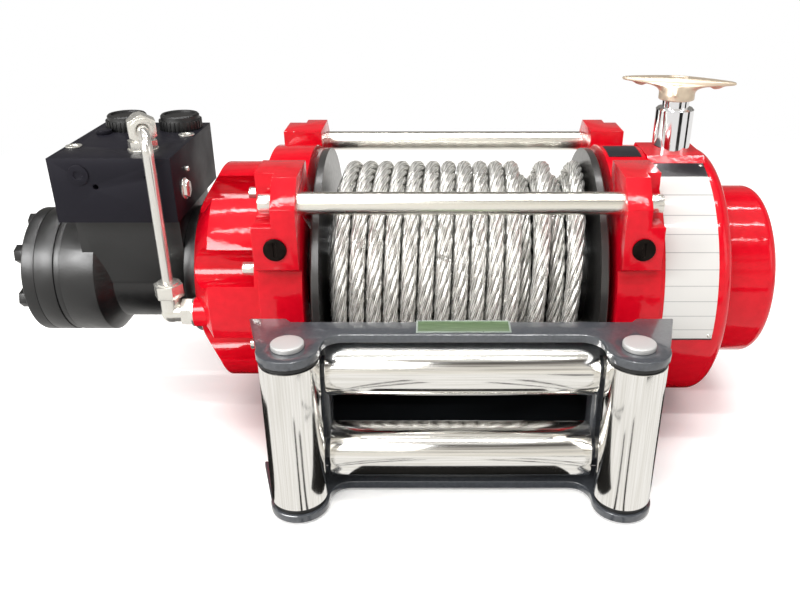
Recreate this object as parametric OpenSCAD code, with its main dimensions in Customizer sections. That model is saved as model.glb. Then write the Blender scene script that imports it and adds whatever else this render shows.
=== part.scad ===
// Hydraulic recovery winch with a wound wire rope and a four-way roller fairlead.
// The origin is the centre of the base bolt pattern, on the floor.
// +X runs along the drum towards the gearbox, -Y points at the fairlead, +Z is up.

/* [Mounting] */
// Bolt spacing along the drum, which is also the spacing of the drum supports
bolt_x = 254; // [250:1:262]
// Bolt spacing across the drum
bolt_y = 114.3; // [108:0.1:122]
// Diameter of the threaded base holes
base_hole_d = 12; // [9:0.5:14]
// Depth of the threaded base holes
base_hole_depth = 26; // [18:1:34]
// Diameter of the threaded holes in the front and rear pads
pad_hole_d = 12; // [9:0.5:14]
// Diameter of the threaded holes in the lower rear pads
rear_hole_d = 10; // [8:0.5:11.5]
// Depth of the threaded holes in the pads
pad_hole_depth = 24; // [16:1:30]
// Height of the drum axis over the floor
axis_h = 106; // [104:1:112]

/* [Drum supports] */
// Width of one support casting along the drum
sup_w = 31; // [28:1:34]
// Width of the blocks on the right support, which clear the gear housing
right_block_w = 27; // [25:0.5:28]
// Radius of the ring round the drum
ring_r = 100.5; // [97.5:1:102.5]
// Height of the flat on top of the rod blocks, over the drum axis
block_top = 103.5; // [101:0.5:106]
// Inner edge of a top block, from the drum axis
block_in = 44; // [40:1:50]
// Where the chamfer of a block begins, from the drum axis
block_mid = 88; // [84:1:92]
// Front and rear pad faces, from the drum axis
pad_y = 104; // [101:1:108]
// Top of a pad face, over the drum axis
pad_top = 85.5; // [82:0.5:88]
// Lower end of an upper pad face, over the drum axis
pad_low = 42; // [36:1:45]
// Inner edge of a foot, from the drum axis
foot_in = 38; // [34:1:42]
// Depth of the relief between two feet
foot_relief = 5; // [3:1:8]
// Thickness of the wall that the tie rods are screwed to
rod_wall = 17; // [14:1:20]
// Floor of the screw pocket, over the drum axis
pocket_z = 73; // [70:1:75]
// Inner end of the screw pocket, from the drum axis
pocket_y = 77; // [72:1:79]
// Corner radius of the screw pocket
pocket_r = 11; // [8:1:13]

/* [Tie rods] */
// Diameter of a tie rod
rod_d = 16; // [14:1:18]
// Rod axis from the drum axis, across the winch
rod_y = 88; // [86:1:90]
// Rod axis over the drum axis
rod_z = 85; // [83:1:87]
// Thread diameter of the rod screws
rod_screw_d = 8; // [6:1:10]
// Head diameter of the rod screws
rod_head_d = 13; // [11:1:15]
// Head height of the rod screws
rod_head_h = 10; // [8:1:12]
// Depth of the threaded hole in a rod end
rod_thread = 22; // [15:1:30]

/* [Drum and rope] */
// Radius of the drum flanges
flange_r = 98; // [96:1:100]
// Thickness of a drum flange
flange_t = 6; // [4:1:8]
// Running gap between a flange and its support
drum_gap = 5; // [5:0.5:7]
// Radius of the drum barrel
barrel_r = 45; // [42:1:48]
// Radius of the journals that run in the supports
journal_r = 30; // [24:1:34]
// Length of a journal inside its support
journal_len = 18; // [14:1:24]
// Radial running clearance of journals and pins
run_gap = 0.05; // [0.02:0.01:0.09]
// Diameter of the wire rope
rope_d = 12; // [11:0.5:13]
// Outer radius of the winding
winding_r = 88; // [84:1:90]
// Turns of rope in each layer
turns = 16; // [14:1:16]

/* [Brake housing] */
// Radius over the lobes
brake_r = 87.5; // [84:0.5:89]
// Radius of the round valley in front of each housing screw
valley_r = 14.8; // [12.3:0.5:15.3]
// Length of the housing
brake_len = 56; // [52:1:60]
// Length of the full lobes before the nose tapers
lobe_len = 40; // [36:1:44]
// Radius of the nose face
nose_r = 64; // [60:1:68]
// Number of lobes
lobes = 8; // [7:1:9]
// Radius of the screw circle
brake_screw_r = 80; // [79:0.5:81]
// Thread diameter of the housing screws
brake_screw_d = 6; // [5:0.5:7]
// Head diameter of the housing screws
brake_head_d = 10; // [8:0.5:11]
// Head height of the housing screws
brake_head_h = 9; // [7:1:10]
// Thickness of the flange that the screws clamp
brake_flange_t = 6; // [4:1:8]
// Radius of the boss that the brake line is screwed into
port_boss_r = 11.5; // [10:0.5:12.5]

/* [Motor] */
// Radius of the motor body
motor_r = 50.3; // [48:0.1:52]
// Radius of the neck
neck_r = 39; // [36:1:42]
// Thickness of the mounting flange
motor_flange_t = 12; // [9:1:14]
// Length of the neck
neck_len = 60; // [56:1:64]
// Length of the taper between neck and body
taper_len = 10; // [7:1:13]
// Length of the body behind the neck
body_len = 26; // [22:1:30]
// Half width of the port pad under the valve block
pad_half = 42; // [39:1:46]
// Thickness of the distributor plate
dist_t = 5; // [4:0.5:6]
// Thickness of the gear ring
ring_t = 15; // [12:1:18]
// Thickness of the end cap
cap_t = 10; // [8:1:12]
// Radius of the end cap bolt circle
cap_bolt_r = 40; // [37:1:42]
// Number of end cap bolts
cap_bolts = 7; // [5:1:8]
// Width across the flats of the end cap bolts
cap_bolt_af = 13; // [10:1:14]
// Height of the end cap bolt heads
cap_bolt_h = 5.5; // [4:0.5:7]

/* [Valve block] */
// Length of the block along the motor
block_len = 88; // [80:1:90]
// Width of the block across the motor
block_w = 114; // [106:1:120]
// Height of the block
block_h = 48; // [42:1:52]
// Underside of the block, over the drum axis
block_z = 60; // [56:1:62]
// Clearance between the block and the brake housing
block_gap = 7.5; // [7:0.5:9]
// Diameter of a port cap
port_cap_d = 34; // [30:1:36]
// Height of a port cap
port_cap_h = 12; // [9:1:15]
// Spacing of the two ports
port_pitch = 43; // [39:1:46]
// Ports from the rear face of the block
port_in = 19; // [18:1:23]
// Diameter of a port bore
port_d = 21; // [18:1:24]
// Thread diameter of the small screws on top of the block
block_screw_d = 8; // [6:1:9]
// Depth of the small screws on top of the block
block_screw_depth = 18; // [12:1:24]

/* [Brake line] */
// Outer diameter of the steel tube
tube_d = 8; // [6:1:10]
// Bend radius of the steel tube, on its centreline
tube_bend = 16; // [14:1:17]
// Width across the flats of the tube nuts
nut_af = 19; // [17:1:20]
// Length of the tube nuts
nut_len = 10; // [8:1:11]
// Height of the upper elbow's axis over the valve block
elbow_rise = 20; // [18:1:24]

/* [Gearbox] */
// Radius of the gear housing
gear_r = 99; // [97:1:101]
// Length of the gear housing
gear_len = 53; // [50:1:58]
// Edge radius of the gear housing
gear_edge = 10; // [6:1:14]
// Height of the clutch seat over the top of the gear housing
seat_rise = 1.5; // [1:0.5:5]
// Half width of the clutch seat
seat_half = 20; // [17:1:26]
// Radius of the end cover
cover_r = 68; // [64:1:72]
// Length of the end cover
cover_len = 44; // [38:1:48]
// Edge radius of the end cover
cover_edge = 8; // [5:1:12]

/* [Clutch] */
// Diameter of the chrome clutch housing
clutch_d = 28.4; // [26:0.2:30]
// Height of the chrome clutch housing
clutch_h = 32; // [28:1:36]
// Clutch axis from the inner end of the gear housing
clutch_x = 22.5; // [20:0.5:25]
// Diameter of the clutch stem
stem_d = 20; // [16:1:22]
// Part of the stem that shows over the housing
stem_show = 5.5; // [5:0.5:8]
// Span of the clutch handle
handle_span = 84; // [76:1:90]
// Height of the clutch handle
handle_h = 17.5; // [15:0.5:20]
// Angle of the handle at rest, from the drum axis
handle_turn = -19; // [-25:1:-10]

/* [Fairlead] */
// Plate thickness of the fairlead frame
plate_t = 6; // [5:0.5:7]
// Height of the fairlead over its lower plate's underside
fair_h = 123; // [119:1:127]
// Height of the fairlead's underside over the floor
fair_z = 2; // [1:0.5:4]
// Back face of the fairlead, from the drum axis
fair_back = 132; // [130:1:136]
// Spacing of the upright rollers
upright_pitch = 220; // [218:1:224]
// Axis of the upright rollers, from the drum axis
upright_y = 173; // [172:1:176]
// Diameter of the rollers
roller_d = 38; // [36:1:39]
// Diameter of the roller pins
pin_d = 16; // [13:1:18]
// Axis of the level rollers, from the drum axis
level_y = 149; // [148:0.5:150]
// Spacing of the level rollers
level_pitch = 65.6; // [62:0.2:66]
// Gap between the upper level roller and the top plate
level_drop = 2.5; // [2:0.5:4]
// Half length of a level roller
level_half = 89; // [86:1:90]
// End play of a roller
end_play = 0.4; // [0.3:0.1:0.8]
// Diameter of the pin heads
pin_head_d = 21; // [19:1:24]
// Height of the pin heads
pin_head_h = 4; // [3:0.5:5]
// Diameter of the spacers behind the fairlead
spacer_d = 24; // [20:1:28]

/* [Hidden] */
$fn = 64;
EPS = 0.01;

// Supports
sup_in = bolt_x / 2 - sup_w / 2;
sup_out = sup_in + sup_w;
pad_hole_z = bolt_y / 2;
// Where the undercut of a pad runs into the ring
pad_root_y = ring_r - 8.5;
pad_root_z = 6;
// Drum
flange_out = sup_in - drum_gap;
flange_in = flange_out - flange_t;
rope_pitch = (2 * flange_in - rope_d) / (turns - 1);
top_layer_r = winding_r - rope_d / 2;
lower_layer_r = top_layer_r - rope_d * 0.87;
// Turns of the top layer that are missing, so that the layer below shows, and the runs of
// turns beside them
open_turns = [turns - 4, turns - 2];
top_runs = [[0, turns - 5], [turns - 3, turns - 3], [turns - 1, turns - 1]];
// Brake housing and motor, counted outwards from the left support
brake_x = -sup_out - brake_len;
flange_x = brake_x - motor_flange_t;
neck_x = flange_x - neck_len;
taper_x = neck_x - taper_len;
body_x = taper_x - body_len;
dist_x = body_x - dist_t;
ring_x = dist_x - ring_t;
cap_x = ring_x - cap_t;
// Valve block
block_x1 = brake_x - block_gap;
block_x0 = block_x1 - block_len;
block_top_z = axis_h + block_z + block_h;
port_x = block_x0 + block_len / 2 + 4;
port_y = block_w / 2 - port_in;
// Places on the block, counted from its front face and its underside
fitting_at = [-block_w / 2 + 23, axis_h + block_z + 19];
needle_at = [-block_w / 2 + 31, axis_h + block_z + 32];
front_holes = [[block_x0 + 32, axis_h + block_z + 27], [block_x1 - 18, axis_h + block_z + 34]];
block_screws = [[block_x0 + 7, -block_w / 2 + 33], [block_x1 - 7, block_w / 2 - 45]];
// Brake line: from the elbow on the valve block, over the block's front edge and
// down to the elbow in the nose of the brake housing
line_x = block_x1 - 11;
line_y = -block_w / 2 - tube_d - 2;
line_low_z = axis_h - 8;
elbow_at = [line_x - 15, -33, block_top_z + elbow_rise];
line_corner = [line_x, line_y, elbow_at[2] - 2];
line_foot = [line_x, line_y, line_low_z];
// Gearbox
gear_x = sup_out;
seat_top = gear_r + seat_rise;
clutch_axis_x = gear_x + clutch_x;
clutch_top_z = axis_h + seat_top + clutch_h;
// Fairlead
fair_top_z = fair_z + fair_h;
upright_x = upright_pitch / 2;
upper_z = fair_top_z - plate_t - level_drop - roller_d / 2;
lower_z = upper_z - level_pitch;
cheek_x = level_half + end_play;
cheek_t = 4;
tab_x = sup_out;
fair_bolt_z = axis_h - pad_hole_z;
washer_t = 3;

// Extrudes an outline drawn across the drum, with its origin on the drum axis
module across(x, len) {
    translate([x, 0, axis_h]) rotate([90, 0, 90]) linear_extrude(len) children();
}

// A round bar that lies along the drum
module bar_x(x, len, r, y = 0, z = axis_h) {
    translate([x, y, z]) rotate([0, 90, 0]) cylinder(h = len, r = r);
}

// A round bar that lies across the drum
module bar_y(y, len, r, x, z) {
    translate([x, y, z]) rotate([-90, 0, 0]) cylinder(h = len, r = r);
}

// A disc with one rounded edge at its far end
module rounded_disc(r, len, edge) {
    rotate_extrude() {
        square([r - edge, len]);
        square([r, len - edge]);
        translate([r - edge, len - edge]) circle(r = edge);
    }
}

// A socket head screw that points along +Z from the seat of its head
module socket_screw(d, head_d, head_h, len) {
    difference() {
        union() {
            translate([0, 0, -head_h]) cylinder(h = head_h, d = head_d);
            cylinder(h = len, d = d);
        }
        translate([0, 0, -head_h - EPS]) cylinder(h = head_h * 0.6, d = head_d * 0.55, $fn = 6);
    }
}

// A hexagon of a given width across its flats
module hexagon(af) {
    circle(d = af / cos(30), $fn = 6);
}

// Drum supports

module pocket_outline() {
    translate([pocket_y + pocket_r, pocket_z]) square([pad_y, block_top]);
    translate([pocket_y, pocket_z + pocket_r]) square([pad_y, block_top]);
    translate([pocket_y + pocket_r, pocket_z + pocket_r]) circle(r = pocket_r);
}

// The ring with its two rod blocks, and the saddle with its two feet
module support_blank(block_w) {
    bar_x(sup_in, sup_w, ring_r);
    for (side = [0, 1]) mirror([0, side, 0]) {
        across(sup_in, block_w)
            polygon([[block_in, 0], [block_in, block_top], [block_mid, block_top],
                     [pad_y, pad_top], [pad_y, pad_low], [pad_root_y, pad_low - pad_root_z]]);
        across(sup_in, sup_w)
            polygon([[foot_in, 0], [foot_in, -axis_h], [block_mid, -axis_h],
                     [pad_y, -pad_top], [pad_y, -pad_low], [pad_root_y, pad_root_z - pad_low]]);
    }
    translate([sup_in, -foot_in, foot_relief])
        cube([sup_w, 2 * foot_in, axis_h - foot_relief]);
}

// A support on the right; the left one is a mirror image with wider blocks
module support(block_w) {
    difference() {
        support_blank(block_w);
        for (side = [0, 1]) mirror([0, side, 0]) {
            across(sup_in + rod_wall, sup_w) pocket_outline();
            bar_x(sup_in - 1, sup_w, rod_screw_d / 2 + 0.5, rod_y, axis_h + rod_z);
            translate([bolt_x / 2, bolt_y / 2, -1])
                cylinder(h = base_hole_depth + 1, d = base_hole_d);
            bar_y(pad_y - pad_hole_depth, pad_hole_depth + 1, pad_hole_d / 2,
                  sup_in + block_w / 2, axis_h + pad_hole_z);
        }
        bar_y(-pad_y - 1, pad_hole_depth + 1, pad_hole_d / 2, bolt_x / 2, axis_h - pad_hole_z);
        bar_y(pad_y - pad_hole_depth, pad_hole_depth + 1, rear_hole_d / 2,
              bolt_x / 2, axis_h - pad_hole_z);
        bar_x(sup_in - 1, journal_len + 2, journal_r + run_gap);
    }
}

module left_support() { color("red") mirror([1, 0, 0]) support(sup_w); }

module right_support() { color("red") support(right_block_w); }

module tie_rod(side) {
    color("silver") difference() {
        bar_x(-sup_in, 2 * sup_in, rod_d / 2, side * rod_y, axis_h + rod_z);
        for (end = [0, 1]) mirror([end, 0, 0])
            bar_x(sup_in - rod_thread, rod_thread + 1, rod_screw_d / 2 + 0.1,
                  side * rod_y, axis_h + rod_z);
    }
}

module tie_rod_front() { tie_rod(-1); }

module tie_rod_rear() { tie_rod(1); }

module tie_rod_screws() {
    color("silver")
        for (end = [0, 1], side = [-1, 1]) mirror([end, 0, 0])
            translate([sup_in + rod_wall, side * rod_y, axis_h + rod_z]) rotate([0, -90, 0])
                socket_screw(rod_screw_d, rod_head_d, rod_head_h, rod_wall + rod_thread - 2);
}

// Slotted plugs that close the upper pad holes, front and rear
module pad_plugs() {
    color("black")
        for (x = [-bolt_x / 2, sup_in + right_block_w / 2], side = [0, 1]) mirror([0, side, 0])
            translate([x, -pad_y, axis_h + pad_hole_z]) rotate([-90, 0, 0])
                difference() {
                    union() {
                        translate([0, 0, -1.5]) cylinder(h = 1.5, d = pad_hole_d + 4);
                        cylinder(h = 8, d = pad_hole_d - 0.2);
                    }
                    translate([-1, -5, -2]) cube([2, 10, 1.5]);
                }
}

// Drum and rope

module drum() {
    color("dimgray") {
        bar_x(-flange_in, 2 * flange_in, barrel_r);
        for (end = [0, 1]) mirror([end, 0, 0]) {
            translate([flange_in, 0, axis_h]) rotate([0, 90, 0])
                rounded_disc(flange_r, flange_t, 1.5);
            bar_x(flange_out, drum_gap + journal_len, journal_r);
        }
    }
}

// The winding: one ring for each turn, with a scalloped outline as the layers lie
module wire_rope() {
    color("lightgray") translate([-flange_in, 0, axis_h]) rotate([0, 90, 0])
        rotate_extrude() {
            translate([barrel_r, 0]) square([lower_layer_r - barrel_r, 2 * flange_in]);
            for (run = top_runs) {
                translate([barrel_r, run[0] * rope_pitch])
                    square([top_layer_r - barrel_r, (run[1] - run[0]) * rope_pitch + rope_d]);
                for (i = [run[0] : run[1]])
                    translate([top_layer_r, rope_d / 2 + i * rope_pitch]) circle(d = rope_d);
            }
            for (gap = open_turns, side = [-0.5, 0.5])
                translate([lower_layer_r, rope_d / 2 + (gap + side) * rope_pitch])
                    circle(d = rope_d);
        }
}

// Route of the rope's free end, which climbs on the winding at the right flange and
// crosses back over it. Its angle is counted from the front, downwards.
function end_route(t) = let(
        angle = 100 - 66 * t,
        radius = top_layer_r + rope_d + 0.3,
        x = flange_in - rope_d / 2 - 0.5 - 58 * pow(t, 1.6))
    [x, -radius * cos(angle), axis_h - radius * sin(angle)];

function unit(v) = v / norm(v);

// Turns +Z to the direction of a vector, and its children with it
module point_along(v) {
    rotate([0, acos(v[2] / norm(v)), atan2(v[1], v[0])]) children();
}

// One ring of a tube round a point of its route; up is any direction off the route
function tube_ring(at, way, up, r, sides) = let(
        side = unit(cross(way, up)), rise = cross(side, way))
    [for (k = [0 : sides - 1])
        at + r * (cos(k * 360 / sides) * side + sin(k * 360 / sides) * rise)];

// A round tube swept along the points of a route
module swept_tube(route, r, up, sides = 12) {
    last = len(route) - 1;
    rings = [for (i = [0 : last])
        tube_ring(route[i], unit(route[min(i + 1, last)] - route[max(i - 1, 0)]), up, r, sides)];
    polyhedron(
        points = [for (ring = rings) each ring],
        faces = concat(
            [[for (k = [sides - 1 : -1 : 0]) k]],
            [[for (k = [0 : sides - 1]) last * sides + k]],
            [for (i = [0 : last - 1], k = [0 : sides - 1])
                let(a = i * sides + k, b = i * sides + (k + 1) % sides)
                    [a, b, b + sides, a + sides]]));
}

// The free end of the rope with the ferrule that is crimped on it
module rope_end() {
    steps = 16;
    route = [for (i = [0 : steps]) end_route(i / steps)];
    tip = route[steps];
    way = unit(tip - route[steps - 1]);
    color("lightgray") swept_tube(route, rope_d / 2, [0, 0.3, 1]);
    color("silver") translate(tip - 6 * way) point_along(way) cylinder(h = 20, d = rope_d + 1.5);
}

// Brake housing

// A turned cylinder with a tapered nose and a boss for the brake line, whose valleys leave
// the lobes between the screws and run out through the nose
module brake_housing() {
    color("red") difference() {
        union() {
            translate([-sup_out, 0, axis_h]) rotate([0, -90, 0]) rotate_extrude()
                polygon([[0, 0], [brake_r, 0], [brake_r, lobe_len], [nose_r, brake_len],
                         [0, brake_len]]);
            bar_x(brake_x, brake_len - lobe_len + 2, port_boss_r, line_y, line_low_z);
        }
        bar_x(brake_x - 1, 11, 5, line_y, line_low_z);
        at_brake_screws() {
            translate([0, 0, -brake_len]) cylinder(h = brake_len, r = valley_r);
            translate([0, 0, -1])
                cylinder(h = brake_flange_t + 2, d = brake_screw_d + 2 * run_gap);
        }
    }
}

// Places its children at each housing screw, on the outer face of the flange
module at_brake_screws() {
    translate([-sup_out - brake_flange_t, 0, axis_h]) rotate([0, 90, 0])
        for (i = [0 : lobes - 1]) rotate((i + 0.5) * 360 / lobes)
            translate([brake_screw_r, 0, 0]) children();
}

module brake_housing_screws() {
    color("silver") at_brake_screws()
        socket_screw(brake_screw_d, brake_head_d, brake_head_h, brake_flange_t);
}

// Motor

module motor_flange() {
    color("#1a1a1c") bar_x(flange_x, motor_flange_t, neck_r + 13);
}

module motor_body() {
    color("#1a1a1c") {
        bar_x(neck_x, neck_len, neck_r);
        translate([taper_x, 0, axis_h]) rotate([0, 90, 0])
            cylinder(h = taper_len, r1 = motor_r, r2 = neck_r);
        bar_x(body_x, body_len, motor_r);
        across(block_x0 + 5, flange_x - block_x0 - 5)
            polygon([[-neck_r, 4], [-pad_half, block_z], [pad_half, block_z], [neck_r, 4]]);
    }
}

module motor_distributor() {
    color("#242426") bar_x(dist_x, dist_t, motor_r - 0.8);
}

module motor_gear_ring() {
    color("#1a1a1c") bar_x(ring_x, ring_t, motor_r);
}

module motor_end_cap() {
    color("#1a1a1c") translate([ring_x, 0, axis_h]) rotate([0, -90, 0])
        rounded_disc(motor_r, cap_t, 1.5);
}

module motor_end_bolts() {
    color("#202022") translate([cap_x, 0, axis_h]) rotate([0, -90, 0])
        for (i = [0 : cap_bolts - 1]) rotate(i * 360 / cap_bolts) translate([cap_bolt_r, 0, 0]) {
            cylinder(h = 1.5, d = cap_bolt_af + 2);
            linear_extrude(1.5 + cap_bolt_h) hexagon(cap_bolt_af);
        }
}

// Valve block

module valve_block() {
    color("#2b2a33") difference() {
        translate([block_x0, -block_w / 2, axis_h + block_z]) cube([block_len, block_w, block_h]);
        for (end = [-1, 1])
            translate([port_x + end * port_pitch / 2, port_y, block_top_z - 25])
                cylinder(h = 26, d = port_d);
        translate([elbow_at[0], elbow_at[1], block_top_z - 12]) cylinder(h = 13, d = 10);
        for (at = front_holes) bar_y(-block_w / 2 - 1, 7, 2, at[0], at[1]);
        at_block_screws() translate([0, 0, -1])
            cylinder(h = block_screw_depth + 2, d = block_screw_d + 2 * run_gap);
    }
}

// Places its children at each screw on top of the block, pointing down into it
module at_block_screws() {
    for (at = block_screws)
        translate([at[0], at[1], block_top_z]) rotate([180, 0, 0]) children();
}

module valve_block_screws() {
    color("silver") at_block_screws()
        socket_screw(block_screw_d, block_screw_d + 4, 1.2, block_screw_depth);
}

module port_cap(end) {
    plug_r = port_d / 2 - 0.1;
    plug_len = 15;
    cap_r = port_cap_d / 2;
    rim = 3.5;
    dish = 1.5;
    color("#141416") translate([port_x + end * port_pitch / 2, port_y, block_top_z])
        rotate_extrude()
            polygon([[0, -plug_len], [plug_r, -plug_len], [plug_r, 0], [cap_r, 0],
                     [cap_r, port_cap_h * 0.6], [cap_r - 1, port_cap_h - 1],
                     [cap_r - 2, port_cap_h], [cap_r - rim, port_cap_h],
                     [cap_r - rim - 1, port_cap_h - dish], [0, port_cap_h - dish]]);
}

module port_cap_left() { port_cap(-1); }

module port_cap_right() { port_cap(1); }

module valve_block_plugs() {
    color("black") {
        translate([block_x0 + 21, -block_w / 2, block_top_z - 12]) rotate([90, 0, 0])
            difference() {
                cylinder(h = 1, d = 15);
                translate([0, 0, 0.3]) linear_extrude(1) hexagon(6);
            }
        translate([block_x0 + 14, 18, block_top_z]) cylinder(h = 3, d = 12);
    }
    color("silver") {
        bar_x(block_x1, 1.5, 8, fitting_at[0], fitting_at[1]);
        translate([block_x1 + 1.5, fitting_at[0], fitting_at[1]]) rotate([0, 90, 0])
            linear_extrude(2.5) hexagon(12);
        bar_x(block_x1, 3, 2, needle_at[0], needle_at[1]);
    }
}

// Brake line

// Points of a route from a to c with one round bend at b
function bend_route(a, b, c, bend, steps) = let(
        u = unit(b - a), v = unit(c - b), turn = acos(u * v),
        n = unit(v - (u * v) * u), start = b - bend * tan(turn / 2) * u)
    concat([a],
           [for (i = [0 : steps]) let(t = turn * i / steps)
               start + bend * (sin(t) * u + (1 - cos(t)) * n)],
           [c]);

upper_way = unit(line_corner - elbow_at);
elbow_d = nut_af - 4;
elbow_ball_d = elbow_d + 1;
upper_seat = elbow_d / 2 + 1;
lower_seat = nut_af / 2 + 4;
seat_gap = 0.2;
elbow_hex_h = elbow_rise - nut_af / 2 / cos(30) - 3;

module brake_line() {
    route = bend_route(elbow_at + (upper_seat + seat_gap) * upper_way, line_corner,
                       line_foot + [0, 0, lower_seat + seat_gap],
                       tube_bend, 12);
    color("silver") swept_tube(route, tube_d / 2, [1, 0.2, 0], 16);
}

// A nut with a bore for the tube, along +Z
module tube_nut() {
    difference() {
        union() {
            linear_extrude(nut_len) hexagon(nut_af);
            translate([0, 0, nut_len]) cylinder(h = 1.5, d = nut_af - 3);
        }
        translate([0, 0, -1]) cylinder(h = nut_len + 4, d = tube_d + 0.2);
    }
}

module upper_nut() {
    color("silver") translate(elbow_at + upper_seat * upper_way) point_along(upper_way)
        tube_nut();
}

module lower_nut() {
    color("silver") translate(line_foot + [0, 0, lower_seat]) tube_nut();
}

module upper_elbow() {
    color("silver") {
        translate([elbow_at[0], elbow_at[1], block_top_z]) {
            cylinder(h = 1.5, d = nut_af + 3);
            translate([0, 0, 1.5]) linear_extrude(elbow_hex_h) hexagon(nut_af);
            translate([0, 0, 1]) cylinder(h = elbow_rise - 1, d = elbow_d);
            translate([0, 0, -10]) cylinder(h = 11, d = 9.8);
        }
        translate(elbow_at) sphere(d = elbow_ball_d);
        translate(elbow_at) point_along(upper_way)
            cylinder(h = upper_seat - seat_gap, d = elbow_d);
    }
}

module lower_elbow() {
    color("silver") {
        translate(line_foot) sphere(d = elbow_ball_d);
        translate(line_foot) cylinder(h = lower_seat, d = elbow_d);
        bar_x(line_x, brake_x - line_x - 8, elbow_d / 2, line_y, line_low_z);
        translate([brake_x - 9.5, line_y, line_low_z]) rotate([0, 90, 0]) {
            linear_extrude(8) hexagon(nut_af);
            translate([0, 0, 8]) cylinder(h = 1.5, d = nut_af + 3);
            translate([0, 0, 9]) cylinder(h = 9, d = 9.8);
        }
    }
}

// Gearbox and clutch

module gear_housing() {
    color("red") {
        translate([gear_x, 0, axis_h]) rotate([0, 90, 0]) rounded_disc(gear_r, gear_len, gear_edge);
        across(gear_x, gear_len - gear_edge)
            polygon([[-2 * seat_half, seat_top - 18], [-seat_half, seat_top],
                     [seat_half, seat_top], [2 * seat_half, seat_top - 18]]);
    }
}

module gear_end_cover() {
    color("red") translate([gear_x + gear_len, 0, axis_h]) rotate([0, 90, 0])
        rounded_disc(cover_r, cover_len, cover_edge);
}

module clutch_housing() {
    rim = 1.2;
    bore_r = stem_d / 2 + run_gap;
    color("silver") translate([clutch_axis_x, 0, axis_h + seat_top]) rotate_extrude()
        polygon([[bore_r, 0], [clutch_d / 2, 0], [clutch_d / 2, clutch_h - rim],
                 [clutch_d / 2 - rim, clutch_h], [bore_r, clutch_h]]);
}

module clutch_stem() {
    color("silver") translate([clutch_axis_x, 0, axis_h + seat_top + end_play])
        cylinder(h = clutch_h + stem_show - end_play, d = stem_d);
}

// Side outline of one half of the handle, with its origin under the hub
module wing_side() {
    polygon([[-0.5, 0], [13.5, 0], [13.5, 5], [16, 9.5], [22, 12], [25.5, 12.3],
             [27, 9.8], [30, 10], [31.5, 12.6],
             [handle_span / 2 - 1, 11.8], [handle_span / 2, 13.4], [38, handle_h - 2.6],
             [25, handle_h - 1], [8, handle_h], [-0.5, handle_h - 0.3]]);
}

// Plan of one half of the handle, as a tall block that trims the side outline
module handle_plan() {
    cylinder(h = handle_h + 1, r = 13.5);
    linear_extrude(handle_h + 1)
        polygon([[-1, -12], [14, -11.5], [handle_span / 2 - 7, -7], [handle_span / 2 - 7, 7],
                 [14, 11.5], [-1, 12]]);
    translate([handle_span / 2 - 7, 0, 0]) cylinder(h = handle_h + 1, r = 7);
}

module clutch_handle() {
    color("#e8dfd0") translate([clutch_axis_x, 0, clutch_top_z + stem_show])
        rotate([0, 0, handle_turn]) for (side = [0, 1]) mirror([side, 0, 0]) intersection() {
            rotate([90, 0, 0]) translate([0, 0, -20]) linear_extrude(40) wing_side();
            handle_plan();
        }
}

// Fairlead

// One half of the top or bottom plate, with a cove between its lobe and its web
module plate_half() {
    lobe_r = roller_d / 2 + 1;
    inner_x = upright_x - lobe_r;
    web_y = level_y + 7;
    cove_r = 14;
    linear_extrude(plate_t)
        polygon([[-1, -fair_back - 5], [sup_in + 2, -fair_back - 5], [sup_in + 6, -fair_back],
                 [tab_x, -fair_back], [upright_x + lobe_r, -upright_y], [inner_x, -upright_y],
                 [inner_x, -web_y], [-1, -web_y]]);
    translate([upright_x, -upright_y, 0]) cylinder(h = plate_t, r = lobe_r);
    translate([inner_x - cove_r, -web_y - cove_r, 0]) difference() {
        cube([cove_r + 1, cove_r + 1, plate_t]);
        translate([0, 0, -1]) cylinder(h = plate_t + 2, r = cove_r);
    }
}

module fairlead_plate(z) {
    color("#4a4c50") translate([0, 0, z]) difference() {
        for (end = [0, 1]) mirror([end, 0, 0]) plate_half();
        for (end = [-1, 1]) translate([end * upright_x, -upright_y, -1])
            cylinder(h = plate_t + 2, d = pin_d + 2 * run_gap);
    }
}

module fairlead_top_plate() { fairlead_plate(fair_top_z - plate_t); }

module fairlead_bottom_plate() { fairlead_plate(fair_z); }

// A side of the frame: a back panel with a cheek that holds the level rollers
module fairlead_side() {
    panel_h = fair_h - 2 * plate_t;
    cheek_nose = 8.5;
    color("#4a4c50") translate([0, 0, fair_z + plate_t]) difference() {
        union() {
            translate([cheek_x, -fair_back - 5, 0]) cube([tab_x - 4 - cheek_x, 5, panel_h]);
            translate([cheek_x, -level_y, 0]) cube([cheek_t, level_y - fair_back, panel_h]);
            for (z = [lower_z, upper_z])
                bar_x(cheek_x, cheek_t, cheek_nose, -level_y, z - fair_z - plate_t);
        }
        for (z = [lower_z, upper_z])
            bar_x(cheek_x - 1, cheek_t + 2, pin_d / 2 - 2, -level_y, z - fair_z - plate_t);
        bar_y(-fair_back - 6, 7, pad_hole_d / 2 + 0.5, bolt_x / 2, fair_bolt_z - fair_z - plate_t);
    }
}

module fairlead_side_right() { fairlead_side(); }

module fairlead_side_left() { mirror([1, 0, 0]) fairlead_side(); }

module fairlead_spacers() {
    color("#4a4c50") for (end = [-1, 1]) difference() {
        bar_y(-fair_back, fair_back - pad_y, spacer_d / 2, end * bolt_x / 2, fair_bolt_z);
        bar_y(-fair_back - 1, fair_back - pad_y + 2, pad_hole_d / 2 + 0.5,
              end * bolt_x / 2, fair_bolt_z);
    }
}

module fairlead_bolts() {
    color("silver") for (end = [-1, 1])
        translate([end * bolt_x / 2, -fair_back - 5, fair_bolt_z]) rotate([-90, 0, 0])
            socket_screw(pad_hole_d - 0.2, pad_hole_d + 6, 8, fair_back + 5 - pad_y + 18);
}

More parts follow.
